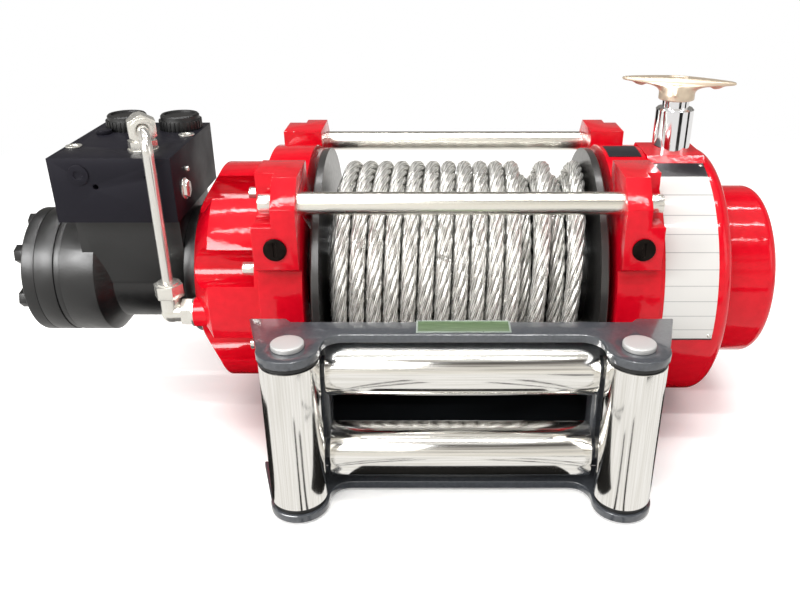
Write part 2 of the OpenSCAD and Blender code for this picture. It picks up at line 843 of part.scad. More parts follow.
module upright_pins() {
    color("silver") for (end = [-1, 1]) translate([end * upright_x, -upright_y, 0]) {
        translate([0, 0, fair_top_z]) cylinder(h = pin_head_h, d = pin_head_d);
        translate([0, 0, fair_z]) cylinder(h = fair_h, d = pin_d);
    }
}

module level_pins() {
    color("silver") for (z = [lower_z, upper_z]) {
        bar_x(-cheek_x - cheek_t, 2 * (cheek_x + cheek_t), pin_d / 2 - 2, -level_y, z);
        for (end = [0, 1]) mirror([end, 0, 0])
            bar_x(cheek_x + cheek_t, 2.5, pin_d / 2, -level_y, z);
    }
}

module upright_washers() {
    color("black") for (end = [-1, 1], z = [fair_z + plate_t, fair_top_z - plate_t - washer_t])
        translate([end * upright_x, -upright_y, z]) difference() {
            cylinder(h = washer_t, d = roller_d - 2);
            translate([0, 0, -1]) cylinder(h = washer_t + 2, d = pin_d + 2 * run_gap);
        }
}

module upright_roller(end) {
    z0 = fair_z + plate_t + washer_t + end_play;
    len = fair_h - 2 * (plate_t + washer_t + end_play);
    color("silver") translate([end * upright_x, -upright_y, z0]) difference() {
        cylinder(h = len, d = roller_d);
        translate([0, 0, -1]) cylinder(h = len + 2, d = pin_d + 2 * run_gap);
    }
}

module level_roller(z) {
    color("silver") difference() {
        bar_x(-level_half, 2 * level_half, roller_d / 2, -level_y, z);
        bar_x(-level_half - 1, 2 * level_half + 2, pin_d / 2 - 2 + run_gap, -level_y, z);
    }
}

module roller_left() { upright_roller(-1); }

module roller_right() { upright_roller(1); }

module roller_upper() { level_roller(upper_z); }

module roller_lower() { level_roller(lower_z); }

left_support();
right_support();
tie_rod_front();
tie_rod_rear();
tie_rod_screws();
pad_plugs();
drum();
wire_rope();
rope_end();
brake_housing();
brake_housing_screws();
motor_flange();
motor_body();
motor_distributor();
motor_gear_ring();
motor_end_cap();
motor_end_bolts();
valve_block();
valve_block_screws();
port_cap_left();
port_cap_right();
valve_block_plugs();
brake_line();
upper_elbow();
upper_nut();
lower_elbow();
lower_nut();
gear_housing();
gear_end_cover();
clutch_housing();
clutch_stem();
clutch_handle();
fairlead_top_plate();
fairlead_bottom_plate();
fairlead_side_left();
fairlead_side_right();
fairlead_spacers();
fairlead_bolts();
upright_pins();
level_pins();
upright_washers();
roller_left();
roller_right();
roller_upper();
roller_lower();
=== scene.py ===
import math

import bmesh
import bpy
from mathutils import Matrix, Vector


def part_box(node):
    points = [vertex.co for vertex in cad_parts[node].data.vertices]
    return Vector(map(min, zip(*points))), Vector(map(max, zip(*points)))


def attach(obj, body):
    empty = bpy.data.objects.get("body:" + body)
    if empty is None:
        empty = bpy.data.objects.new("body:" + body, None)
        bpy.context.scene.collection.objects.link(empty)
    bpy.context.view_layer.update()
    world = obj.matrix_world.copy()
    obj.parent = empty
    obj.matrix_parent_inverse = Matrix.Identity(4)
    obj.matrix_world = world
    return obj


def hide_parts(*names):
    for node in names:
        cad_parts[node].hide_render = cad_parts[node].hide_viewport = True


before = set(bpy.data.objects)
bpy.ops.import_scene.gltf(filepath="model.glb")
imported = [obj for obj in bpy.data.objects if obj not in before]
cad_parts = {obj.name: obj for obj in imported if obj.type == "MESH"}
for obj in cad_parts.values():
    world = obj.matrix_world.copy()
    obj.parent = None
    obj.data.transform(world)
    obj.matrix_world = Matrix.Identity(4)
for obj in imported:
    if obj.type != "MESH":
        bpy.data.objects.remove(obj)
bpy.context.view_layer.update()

# Studio. The winch stands on a pale seamless floor under three long strip lights and a few
# soft boxes. The camera stands in front of the fairlead, a little above it, turned down at
# the drum.

camera_data = bpy.data.cameras.new("camera")
camera_data.sensor_width = 36
camera_data.lens = 36
camera_data.shift_x = -0.0425
camera = bpy.data.objects.new("camera", camera_data)
camera.location = (-0.0183, -0.6129, 0.3648)
camera.rotation_euler = (math.radians(64.8), 0, 0)
bpy.context.scene.collection.objects.link(camera)
bpy.context.scene.camera = camera
bpy.context.scene.view_settings.view_transform = "Standard"


def linear(hex_colour):
    """A colour written in sRGB hex, as linear red, green, blue and alpha."""
    channels = [int(hex_colour[i:i + 2], 16) / 255 for i in (0, 2, 4)]
    return [c / 12.92 if c <= 0.04045 else ((c + 0.055) / 1.055) ** 2.4 for c in channels] + [1]


def add(tree, kind, sockets=None, stops=(), **settings):
    """Adds a node to a tree, with its properties, the stops of its colour ramp if it has one,
    and values or links for its sockets, by name or by number. A Map Range node's 1 to 4 are
    the limits it maps from and to, and a colour Mix node's 6 and 7 are its two colours."""
    node = tree.nodes.new(kind)
    for name, value in settings.items():
        setattr(node, name, value)
    if stops:
        ramp = node.color_ramp.elements
        ramp[0].position, ramp[1].position = stops[0][0], stops[-1][0]
        ramp[0].color, ramp[1].color = linear(stops[0][1]), linear(stops[-1][1])
        for place, shade in stops[1:-1]:
            ramp.new(place).color = linear(shade)
    for name, value in (sockets or {}).items():
        if isinstance(value, bpy.types.NodeSocket):
            tree.links.new(value, node.inputs[name])
        else:
            node.inputs[name].default_value = value
    return node


world = bpy.data.worlds.new("studio")
bpy.context.scene.world = world
world.use_nodes = True
tree = world.node_tree
tree.nodes.clear()
path = add(tree, "ShaderNodeLightPath")
mirrored = add(tree, "ShaderNodeMath", {0: path.outputs["Is Glossy Ray"],
                                        1: path.outputs["Is Transmission Ray"]},
               operation="MAXIMUM")
ray = add(tree, "ShaderNodeTexCoord")
height = add(tree, "ShaderNodeSeparateXYZ", {0: ray.outputs["Generated"]})
# In reflections the studio is white along the floor and under the ceiling, with dark gaps
# and lines between them, and it is dark behind the winch
walls = add(tree, "ShaderNodeValToRGB", {0: height.outputs["Z"]}, stops=(
    (0.0, "f4f1ea"), (0.20, "efeae0"), (0.29, "a8a49e"), (0.34, "ebe7df"), (0.46, "dcd8d0"),
    (0.50, "6a6763"), (0.54, "cfcbc4"), (0.60, "8a8681"), (0.65, "55524e"), (0.73, "5c5955"),
    (0.78, "dcd9d3"), (0.86, "c4c1bb"), (0.90, "eae8e4"), (1.0, "eceae6")))
behind = add(tree, "ShaderNodeMapRange", {0: height.outputs["Y"],
                                          1: 0.15, 2: 0.65, 3: 1.0, 4: 0.3})
fill = add(tree, "ShaderNodeBackground", {0: linear("ffffff"), 1: 0.46})
shown = add(tree, "ShaderNodeBackground", {0: linear("ffffff"), 1: 1.0})
round_about = add(tree, "ShaderNodeBackground", {0: walls.outputs[0], 1: behind.outputs[0]})
inner = add(tree, "ShaderNodeMixShader", {0: mirrored.outputs[0], 1: fill.outputs[0],
                                          2: round_about.outputs[0]})
outer = add(tree, "ShaderNodeMixShader", {0: path.outputs["Is Camera Ray"],
                                          1: inner.outputs[0], 2: shown.outputs[0]})
add(tree, "ShaderNodeOutputWorld", {0: outer.outputs[0]})

bpy.ops.object.select_all(action="DESELECT")
bpy.ops.mesh.primitive_circle_add(vertices=96, radius=6, fill_type="NGON", location=(0, 0, 0))
floor = bpy.context.object
floor.name = "floor"
floor_paper = bpy.data.materials.new("white seamless paper")
floor_paper.use_nodes = True
tree = floor_paper.node_tree
tree.nodes.clear()
path = add(tree, "ShaderNodeLightPath")
mirrored = add(tree, "ShaderNodeMath", {0: path.outputs["Is Glossy Ray"],
                                        1: path.outputs["Is Transmission Ray"]},
               operation="MAXIMUM")
# The paper is painted dark under the front of the drum, a painted shadow. Round an ellipse
# about the winch it glows a little, and far away it makes up for the lamps' falling off.
spot = add(tree, "ShaderNodeTexCoord").outputs["Object"]
ellipse = (0.26, 0.19, 1.0)
under = add(tree, "ShaderNodeVectorMath", {0: spot, 1: ellipse}, operation="DIVIDE")
apart = add(tree, "ShaderNodeVectorMath", {0: under.outputs[0]}, operation="LENGTH")
# Painted shadow: the paper's own colour is near black under the front of the drum and pale
# outside this ellipse
painted_shadow_ellipse = add(tree, "ShaderNodeMapping", {"Vector": spot, "Location": (0.0, 0.4, 0.0),
                                            "Scale": (5.2, 9.0, 1.0)})
inside = add(tree, "ShaderNodeVectorMath", {0: painted_shadow_ellipse.outputs[0]}, operation="LENGTH")
clear = add(tree, "ShaderNodeMapRange", {0: inside.outputs["Value"], 1: 0.55, 2: 1.1},
            interpolation_type="SMOOTHSTEP")
paper_with_painted_shadow = add(tree, "ShaderNodeMix", {0: clear.outputs[0], 6: linear("141618"),
                                         7: linear("f6f5f3")}, data_type="RGBA")
paper = add(tree, "ShaderNodeBsdfDiffuse", {0: paper_with_painted_shadow.outputs[2]})
lift = add(tree, "ShaderNodeMapRange", {0: apart.outputs["Value"],
                                        1: 0.55, 2: 1.15, 3: 0.0, 4: 0.4})
shine = add(tree, "ShaderNodeEmission", {0: linear("ffffff"), 1: lift.outputs[0]})
near = add(tree, "ShaderNodeAddShader", {0: paper.outputs[0], 1: shine.outputs[0]})
far = add(tree, "ShaderNodeEmission", {0: linear("ffffff"), 1: 1.0})
away = add(tree, "ShaderNodeMapRange", {0: apart.outputs["Value"], 1: 2.5, 2: 5.0})
lit = add(tree, "ShaderNodeMixShader", {0: away.outputs[0], 1: near.outputs[0],
                                        2: far.outputs[0]})
pale = add(tree, "ShaderNodeEmission", {0: linear("f6f4f0"), 1: 1.0})
bounced = add(tree, "ShaderNodeMixShader", {0: mirrored.outputs[0], 1: paper.outputs[0],
                                            2: pale.outputs[0]})
sheet = add(tree, "ShaderNodeMixShader", {0: path.outputs["Is Camera Ray"],
                                          1: bounced.outputs[0], 2: lit.outputs[0]})
add(tree, "ShaderNodeOutputMaterial", {0: sheet.outputs[0]})
floor.data.materials.append(floor_paper)

# Black cards lie on the floor round the upright rollers and the clutch, and under the level
# rollers. They are seen only in the metal, where they draw its dark edges and lines.
black_card = bpy.data.materials.new("black card")
black_card.use_nodes = True
tree = black_card.node_tree
tree.nodes.clear()
black = add(tree, "ShaderNodeBsdfDiffuse", {0: linear("1c1b1a")})
add(tree, "ShaderNodeOutputMaterial", {0: black.outputs[0]})
card_lift = 0.0008
arc_steps = 8


def lay_card(outline):
    """A black card on the floor, just above the paper, which only mirror surfaces see."""
    mesh = bpy.data.meshes.new("black card")
    mesh.from_pydata([(x, y, card_lift) for x, y in outline], [], [range(len(outline))])
    card = bpy.data.objects.new("black card", mesh)
    card.data.materials.append(black_card)
    card.visible_camera = card.visible_diffuse = card.visible_shadow = False
    card.visible_transmission = False
    bpy.context.scene.collection.objects.link(card)


def sector(node, reaches, turns):
    """The outline of a card between two reaches from the middle of an upright piece, and
    between two turns to the left of the line of sight, in radians."""
    low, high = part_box(node)
    centre = (low + high) / 2
    sight = math.atan2(centre.x - camera.location.x, centre.y - camera.location.y)
    arc = [sight + turns[0] + (turns[1] - turns[0]) * i / arc_steps
           for i in range(arc_steps + 1)]
    return [(centre.x - reach * math.sin(a), centre.y - reach * math.cos(a))
            for reach, angles in zip(reaches, (arc, arc[::-1])) for a in angles]


# Two narrow cards in front of each upright roller draw its dark lines, and two wide ones
# behind it its dark edges
roller_foot = 0.021
for node, reach, turns in (("roller_left", 0.20, (-0.04, 0.05)),
                           ("roller_left", 0.145, (-0.34, -0.23)),
                           ("roller_left", 0.21, (1.8, math.pi)),
                           ("roller_left", 0.21, (-math.pi, -2.3)),
                           ("roller_right", 0.145, (0.18, 0.28)),
                           ("roller_right", 0.21, (-0.26, -0.17)),
                           ("roller_right", 0.21, (-math.pi, -2.3)),
                           ("roller_right", 0.21, (2.2, math.pi))):
    lay_card(sector(node, (roller_foot, reach), turns))
# The clutch sleeve mirrors the floor further away
for turns in ((-1.85, -1.55), (-0.93, -0.57), (1.93, 2.5)):
    lay_card(sector("clutch_housing", (0.8, 1.9), turns))
# The card under the level rollers darkens the foot of the lower one
lay_card([(-0.0802, -0.1977), (0.0802, -0.1977), (0.0829, -0.1007), (-0.0829, -0.1007)])

# Each lamp has its place, its length and breadth in metres and its power in watts, and is
# turned to the drum. The sheen box only draws highlights, on the black motor and the lobes
# beside it.
drum_heart = Vector((0, 0, 0.1))
for name, place, size, watts in (("rear strip", (0, 0.72, 2.1), (2.2, 0.07), 17),
                                 ("middle strip", (0, -0.27, 2.1), (2.2, 0.07), 17),
                                 ("front strip", (0, -1.13, 2.1), (2.2, 0.07), 17),
                                 ("front box", (-0.8, -1.5, 1.15), (1.1, 0.8), 13),
                                 ("left box", (-1.5, -0.9, 0.9), (0.4, 0.6), 12),
                                 ("sheen box", (-0.79, -1.07, 1.02), (0.8, 0.5), 20),
                                 ("right box", (1.5, -0.8, 0.9), (0.6, 0.9), 2.5)):
    box = bpy.data.lights.new(name, "AREA")
    box.shape = "RECTANGLE"
    box.size, box.size_y = size
    box.energy = watts
    lamp = bpy.data.objects.new(name, box)
    lamp.location = place
    lamp.rotation_euler = (drum_heart - lamp.location).to_track_quat("-Z", "Y").to_euler()
    lamp.visible_diffuse = name != "sheen box"
    bpy.context.scene.collection.objects.link(lamp)

# Drum supports. Each is one sand casting in grey iron with a ring for the drum bearing, four
# corner blocks and two feet. The faces are machined where something is bolted on, and the
# whole is painted in thick gloss red enamel, which rounds the edges.


def finish(name, colour, metallic, roughness, **more):
    """A material with one shader, and its tree and Object coordinates, ready for a pattern."""
    material = bpy.data.materials.new(name)
    material.use_nodes = True
    tree = material.node_tree
    tree.nodes.clear()
    sockets = {"Base Color": linear(colour), "Metallic": metallic, "Roughness": roughness}
    shader = add(tree, "ShaderNodeBsdfPrincipled", {**sockets, **more})
    add(tree, "ShaderNodeOutputMaterial", {0: shader.outputs[0]})
    place = add(tree, "ShaderNodeTexCoord").outputs["Object"]
    return material, tree, shader, place


def round_edges(piece, width, segments=2, angle=30):
    """Rounds the sharp edges of a piece and smooths what curves."""
    bpy.ops.object.select_all(action="DESELECT")
    piece.select_set(True)
    bpy.context.view_layer.objects.active = piece
    edge = piece.modifiers.new("edges", "BEVEL")
    edge.width = width
    edge.segments = segments
    edge.limit_method = "ANGLE"
    edge.angle_limit = math.radians(angle)
    bpy.ops.object.modifier_apply(modifier="edges")
    bpy.ops.object.shade_smooth_by_angle(angle=math.radians(28))


def dress(piece, body, slot, material, *nodes):
    """Paints a piece, hangs it on the body it moves with and hides the nodes it stands for.
    The slot, for its finish, is not used.
    """
    piece.data.materials.clear()
    piece.data.materials.append(material)
    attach(piece, body)
    if nodes:
        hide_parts(*nodes)


def soften(node, width, material, slot, body="frame", segments=2):
    """A copy of a CAD node with its sharp edges rounded, which stands for the node."""
    piece = bpy.data.objects.new(node + "_softened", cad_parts[node].data.copy())
    bpy.context.scene.collection.objects.link(piece)
    bpy.ops.object.select_all(action="DESELECT")
    piece.select_set(True)
    bpy.context.view_layer.objects.active = piece
    if piece.data.has_custom_normals:
        bpy.ops.mesh.customdata_custom_splitnormals_clear()
    bpy.ops.object.mode_set(mode="EDIT")
    bpy.ops.mesh.select_all(action="SELECT")
    bpy.ops.mesh.remove_doubles(threshold=1e-6)
    bpy.ops.mesh.dissolve_limited(angle_limit=math.radians(0.6))
    bpy.ops.object.mode_set(mode="OBJECT")
    round_edges(piece, width, segments)
    dress(piece, body, slot, material, node)
    return piece


def paint(node, material):
    """Gives a CAD node, whose shape is right as it is, one material all over."""
    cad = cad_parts[node]
    cad.data.materials.clear()
    cad.data.materials.append(material)


# Enamel over cast iron: saturated red that flows into low waves about 6 mm apart, with the
# sand grain of the casting, about 1 mm, still faintly there
red_enamel, tree, shader, place = finish("gloss red enamel on cast iron", "cb061c", 0.0, 0.25,
                                         **{"Coat Weight": 0.6, "Coat Roughness": 0.03,
                                            "Specular IOR Level": 0.05})
waves = add(tree, "ShaderNodeTexNoise", {"Vector": place, "Scale": 160.0, "Detail": 2.0})
grain = add(tree, "ShaderNodeTexNoise", {"Vector": place, "Scale": 900.0, "Detail": 3.0})
low = add(tree, "ShaderNodeBump", {"Height": waves.outputs[0], "Strength": 0.2,
                                   "Distance": 0.0006})
skin = add(tree, "ShaderNodeBump", {"Height": grain.outputs[0], "Normal": low.outputs[0],
                                    "Strength": 0.12, "Distance": 0.0002})
tone = add(tree, "ShaderNodeValToRGB", {0: waves.outputs[0]},
           stops=((0.3, "c6041a"), (0.7, "d0081e")))
tree.links.new(tone.outputs[0], shader.inputs["Base Color"])
tree.links.new(skin.outputs[0], shader.inputs["Normal"])
tree.links.new(skin.outputs[0], shader.inputs["Coat Normal"])

for node in ("left_support", "right_support"):
    soften(node, 0.0020, red_enamel, "red_paint", segments=3)

# Tie rods. Two ground and polished steel bars hold the supports apart, each screwed to the
# supports from outside with a zinc plated cap screw at either end.

# Ground steel: bright, with fine grinding rings round the bar, drawn 0.4 mm apart
ground_steel, tree, shader, place = finish("ground steel bar", "f1eee5", 1.0, 0.24)
along = add(tree, "ShaderNodeMapping", {"Vector": place, "Scale": (1.0, 0.02, 0.02)})
rings = add(tree, "ShaderNodeTexNoise", {"Vector": along.outputs[0], "Scale": 2500.0,
                                         "Detail": 2.0})
cut = add(tree, "ShaderNodeBump", {"Height": rings.outputs[0], "Strength": 0.15,
                                   "Distance": 0.0001})
sheen = add(tree, "ShaderNodeMapRange", {0: rings.outputs[0], 3: 0.20, 4: 0.30})
tree.links.new(cut.outputs[0], shader.inputs["Normal"])
tree.links.new(sheen.outputs[0], shader.inputs["Roughness"])

# Zinc plated screws: pale and slightly warm, blurred by the plating
zinc, tree, shader, place = finish("bright zinc plate", "e2e0d9", 0.8, 0.24)
cloud = add(tree, "ShaderNodeTexNoise", {"Vector": place, "Scale": 420.0, "Detail": 3.0})
blur = add(tree, "ShaderNodeMapRange", {0: cloud.outputs[0], 3: 0.14, 4: 0.30})
tree.links.new(blur.outputs[0], shader.inputs["Roughness"])
dimple = add(tree, "ShaderNodeBump", {"Height": cloud.outputs[0], "Strength": 0.2,
                                      "Distance": 0.0001})
tree.links.new(dimple.outputs[0], shader.inputs["Normal"])

for node in ("tie_rod_front", "tie_rod_rear"):
    paint(node, ground_steel)
soften("tie_rod_screws", 0.0006, zinc, "zinc_steel")

# Black plugs close the threaded holes in the upper pads. They are steel with a screwdriver
# slot and a black oxide finish, with a brown cast where oil has dried on it.
black_oxide, tree, shader, place = finish("black oxide steel", "191615", 1.0, 0.36)
stain = add(tree, "ShaderNodeTexNoise", {"Vector": place, "Scale": 300.0, "Detail": 3.0})
stained = add(tree, "ShaderNodeValToRGB", {0: stain.outputs[0]},
              stops=((0.0, "131211"), (1.0, "2e2724")))
tree.links.new(stained.outputs[0], shader.inputs["Base Color"])
soften("pad_plugs", 0.0004, black_oxide, "black_steel")

# Drum. Barrel, flanges and journals are one steel weldment, turned and painted satin grey,
# with dust from the rope in patches of its sheen.
drum_grey, tree, shader, place = finish("satin grey paint on steel", "2f2e2d", 0.0, 0.34,
                                        **{"Coat Weight": 0.6, "Coat Roughness": 0.2})
dust = add(tree, "ShaderNodeTexNoise", {"Vector": place, "Scale": 260.0, "Detail": 3.0})
felt = add(tree, "ShaderNodeMapRange", {0: dust.outputs[0], 3: 0.24, 4: 0.42})
tree.links.new(felt.outputs[0], shader.inputs["Roughness"])
paint("drum", drum_grey)

# Wire rope. Six strands of drawn galvanised wire laid right-handed round a core, 12 mm in
# all. It climbs from the lower layer at the left flange, and steps over by one turn at each
# pass of the front. The last turns on the right lie apart, so the lower layer shows.

axis_z = 0.106
rope_low, rope_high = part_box("wire_rope")
rope_radius = 0.006
turn_count = 16
top_radius = (rope_high.y - rope_low.y) / 2 - rope_radius
# The turns of the top layer lie a little down between those of the lower one
lower_radius = top_radius - 0.87 * 2 * rope_radius
first_x = rope_low.x + rope_radius
turn_pitch = (rope_high.x - rope_low.x - 2 * rope_radius) / (turn_count - 1)
strand_count = 6
strand_radius = 0.00208
strand_circle = rope_radius - strand_radius
lay_length = 0.079

# Galvanised wire: bright pale grey wires, about 1.7 mm thick as drawn so that they show,
# lying along each strand, with the colour darker between them
galvanised, tree, shader, place = finish("galvanised rope wire", "e2e1dc", 0.7, 0.32)
strand_map = add(tree, "ShaderNodeUVMap", uv_map="along")
wires = add(tree, "ShaderNodeTexWave", {"Vector": strand_map.outputs[0], "Scale": 1.0},
            wave_type="BANDS", bands_direction="Y")
wire_bump = add(tree, "ShaderNodeBump", {"Height": wires.outputs[0], "Strength": 0.6,
                                         "Distance": 0.0003})
handled = add(tree, "ShaderNodeTexNoise", {"Vector": place, "Scale": 55.0, "Detail": 2.0})
dulled = add(tree, "ShaderNodeMapRange", {0: handled.outputs[0],
                                          1: 0.3, 2: 0.7, 3: 0.24, 4: 0.42})
# The colour is darker between the wires
darker_between_wires = add(tree, "ShaderNodeValToRGB", {0: wires.outputs[0]},
             stops=((0.0, "7e7b74"), (0.5, "f1f0ec")))
tree.links.new(wire_bump.outputs[0], shader.inputs["Normal"])
tree.links.new(darker_between_wires.outputs[0], shader.inputs["Base Color"])
tree.links.new(dulled.outputs[0], shader.inputs["Roughness"])


# V runs round a strand and turns with it. The wave of the material takes 0.31 units a wire, so
# 2.4 units draw about eight wires, and 30 a metre turn them round the strand once in 80 mm. U
# is the length in centimetres.
wires_round = 2.4
wires_along = 30
length_along = 100


def lay_strands(name, route, first, last, sides):
    """Six strands laid round the rope's route from one point of it to another, as one mesh
    with UVs along them. No primitive follows such a route, so it is built point by point."""
    mesh = bpy.data.meshes.new(name)
    bm = bmesh.new()
    uv = bm.loops.layers.uv.new("along")
    twist = 2 * math.pi / lay_length
    travelled = 0.0
    sections = []
    for i in range(last + 1):
        point = route[i]
        if i:
            travelled += (point - route[i - 1]).length
        if i >= first:
            way = (route[min(i + 1, len(route) - 1)] - route[max(i - 1, 0)]).normalized()
            side = way.cross(Vector((0, point.y, point.z - axis_z))).normalized()
            sections.append((point, side, side.cross(way), way, travelled))
    for strand in range(strand_count):
        rings = []
        for point, side, rise, way, distance in sections:
            turn = 2 * math.pi * strand / strand_count - twist * distance
            spoke = math.cos(turn) * side + math.sin(turn) * rise
            lean = twist * strand_circle * (math.sin(turn) * side - math.cos(turn) * rise)
            tangent = (way + lean).normalized()
            out = (spoke - spoke.dot(tangent) * tangent).normalized()
            around = tangent.cross(out)
            centre = point + strand_circle * spoke
            ring = []
            for k in range(sides):
                a = 2 * math.pi * k / sides
                ring.append(bm.verts.new(centre + strand_radius * (math.cos(a) * out
                                                                   + math.sin(a) * around)))
            rings.append((ring, distance))
        for (ring_a, s_a), (ring_b, s_b) in zip(rings, rings[1:]):
            for k in range(sides):
                n = (k + 1) % sides
                face = bm.faces.new((ring_a[k], ring_a[n], ring_b[n], ring_b[k]))
                face.smooth = True
                corners = ((s_a, k), (s_a, k + 1), (s_b, k + 1), (s_b, k))
                for loop, (s, t) in zip(face.loops, corners):
                    loop[uv].uv = (s * length_along, t / sides * wires_round + s * wires_along)
        bm.faces.new(reversed(rings[0][0]))
        bm.faces.new(rings[-1][0])
    bm.to_mesh(mesh)
    bm.free()
    piece = bpy.data.objects.new(name, mesh)
    bpy.context.scene.collection.objects.link(piece)
    return piece


# The free end goes from the ferrule under the front to the right flange, one layer above the
# top layer. Angles round the drum are in degrees, from its front down and on round the back.
end_radius = top_radius + 2 * rope_radius + 0.0003
end_x = rope_high.x - rope_radius - 0.0005
end_angle = 100
end_sweep = 66
end_drift = 0.058
end_steps = 36
route = []
for i in range(end_steps, -1, -1):
    t = i / end_steps
    angle = math.radians(end_angle - end_sweep * t)
    route.append(Vector((end_x - end_drift * t ** 1.6, -end_radius * math.cos(angle),
                         axis_z - end_radius * math.sin(angle))))

# The top layer comes down to the winding beside the flange, and then steps from one place to
# the next at each pass of the front, with the places counted in turns from the left flange.
# Its tail dives to the lower layer.
stops = [15, 13] + list(range(11, -1, -1))
first_pass = 360 - end_angle
settle_sector, step_sector, tail_sector, dive_sector = 45, 210, 100, 55
top_sweep = first_pass + 360 * (len(stops) - 2) + step_sector / 2 + tail_sector
top_spacing = 0.0036
top_points = round(math.radians(top_sweep) * top_radius / top_spacing)
for i in range(1, top_points + 1):
    sweep = top_sweep * i / top_points
    stop = stops[0]
    for k, (here, there) in enumerate(zip(stops, stops[1:])):
        stepped = (sweep - first_pass - 360 * k) / step_sector + 0.5
        stop += (there - here) * min(max(stepped, 0), 1)
    settle = min(sweep / settle_sector, 1)
    settle = settle * settle * (3 - 2 * settle)
    dive = max(sweep - top_sweep + dive_sector, 0) / dive_sector
    radius = (end_radius + (top_radius - end_radius) * settle
              - (top_radius - lower_radius) * dive ** 2)
    angle = math.radians(end_angle + sweep)
    route.append(Vector((end_x + (first_x + stop * turn_pitch - end_x) * settle,
                         -radius * math.cos(angle), axis_z - radius * math.sin(angle))))
halfway = end_steps + top_points // 2

# The lower layer runs evenly from beside the left flange to beside the right one
lower_start = -60
lower_sweep = 360 * (turn_count - 1.2)
lower_spacing = 0.006
lower_points = round(math.radians(lower_sweep) * lower_radius / lower_spacing)
lower_route = []
for i in range(lower_points + 1):
    t = i / lower_points
    angle = math.radians(lower_sweep * t + lower_start)
    lower_route.append(Vector((first_x + (0.15 + (turn_count - 1.3) * t) * turn_pitch,
                               -lower_radius * math.cos(angle),
                               axis_z + lower_radius * math.sin(angle))))

for name, points, first, last, sides, nodes in (
        ("rope_free_end", route, 0, end_steps, 8, ["rope_end"]),
        ("rope_top_right", route, end_steps, halfway, 8, ["wire_rope"]),
        ("rope_top_left", route, halfway, len(route) - 1, 8, []),
        ("rope_lower_layer", lower_route, 0, lower_points, 6, [])):
    strands = lay_strands(name, points, first, last, sides)
    dress(strands, "drum", "rope_wire", galvanised, *nodes)

# Ferrule. A zinc plated steel sleeve is pressed on the free end with a pair of jaws, which
# leaves a waist in its middle.


def begin(name):
    """Names the primitive just added, and moves its place and turn into its mesh."""
    piece = bpy.context.object
    piece.name = name
    bpy.ops.object.transform_apply(location=True, rotation=True, scale=True)
    return piece


def choose(piece, test):
    """In edit mode, selects the faces whose centre and normal pass a test."""
    bpy.ops.mesh.select_mode(type="FACE")
    bpy.ops.mesh.select_all(action="DESELECT")
    bm = bmesh.from_edit_mesh(piece.data)
    for face in bm.faces:
        face.select_set(test(face.calc_center_median(), face.normal))
    bmesh.update_edit_mesh(piece.data)


ferrule_way = (route[0] - route[1]).normalized()
bpy.ops.object.select_all(action="DESELECT")
bpy.ops.mesh.primitive_cylinder_add(vertices=32, radius=0.0066, depth=0.005,
                                    location=route[0] - 0.0035 * ferrule_way,
                                    rotation=ferrule_way.to_track_quat("Z", "X").to_euler())
ferrule = begin("rope_ferrule")
bpy.ops.object.mode_set(mode="EDIT")
choose(ferrule, lambda centre, normal: normal.dot(ferrule_way) > 0.9)
# Into the waist, along it, out of it and on to the mouth
waist = 0.88
for reach, width in ((0.002, waist), (0.006, 1.0), (0.002, 1 / waist), (0.0045, 1.0)):
    bpy.ops.mesh.extrude_region_move(TRANSFORM_OT_translate={"value": ferrule_way * reach})
    bpy.ops.transform.resize(value=(width, width, width))
bpy.ops.mesh.inset(thickness=0.0012)
bpy.ops.mesh.extrude_region_move(TRANSFORM_OT_translate={"value": ferrule_way * -0.001})
bpy.ops.object.mode_set(mode="OBJECT")
round_edges(ferrule, 0.0004, angle=25)
dress(ferrule, "drum", "zinc_steel", zinc)

# Brake housing. One iron casting, turned and tapered, whose round valleys leave eight lobes
# between the screws that hold it to the left support. It has the same red enamel.
soften("brake_housing", 0.0016, red_enamel, "red_paint", segments=3)
soften("brake_housing_screws", 0.0005, zinc, "zinc_steel")

# Motor. An orbital hydraulic motor: body, distributor, gear ring and end cap are clamped
# together by seven hexagon bolts, and the whole is sprayed satin black.

# Satin black paint: a soft wide sheen over the fine sand grain of the casting, 1.2 mm
motor_black, tree, shader, place = finish("satin black paint on cast iron", "0c0c0d", 0.0, 0.4,
                                          **{"Coat Weight": 0.25, "Coat Roughness": 0.34})
sand = add(tree, "ShaderNodeTexNoise", {"Vector": place, "Scale": 820.0, "Detail": 3.0})
rough = add(tree, "ShaderNodeBump", {"Height": sand.outputs[0], "Strength": 0.35,
                                     "Distance": 0.0002})
misted = add(tree, "ShaderNodeTexNoise", {"Vector": place, "Scale": 90.0, "Detail": 2.0})
mist = add(tree, "ShaderNodeMapRange", {0: misted.outputs[0], 1: 0.3, 2: 0.7, 3: 0.34, 4: 0.46})
tree.links.new(rough.outputs[0], shader.inputs["Normal"])
tree.links.new(mist.outputs[0], shader.inputs["Roughness"])
for node, width in (("motor_flange", 0.0012), ("motor_body", 0.0030),
                    ("motor_distributor", 0.0004), ("motor_gear_ring", 0.0007),
                    ("motor_end_cap", 0.0007)):
    soften(node, width, motor_black, "black_iron")
soften("motor_end_bolts", 0.0006, motor_black, "black_steel")

# Valve block. A milled block of aluminium, blasted and black anodised, with its edges broken.
# Sunk screws hold it to the motor's port pad, and plugs close the drillings.

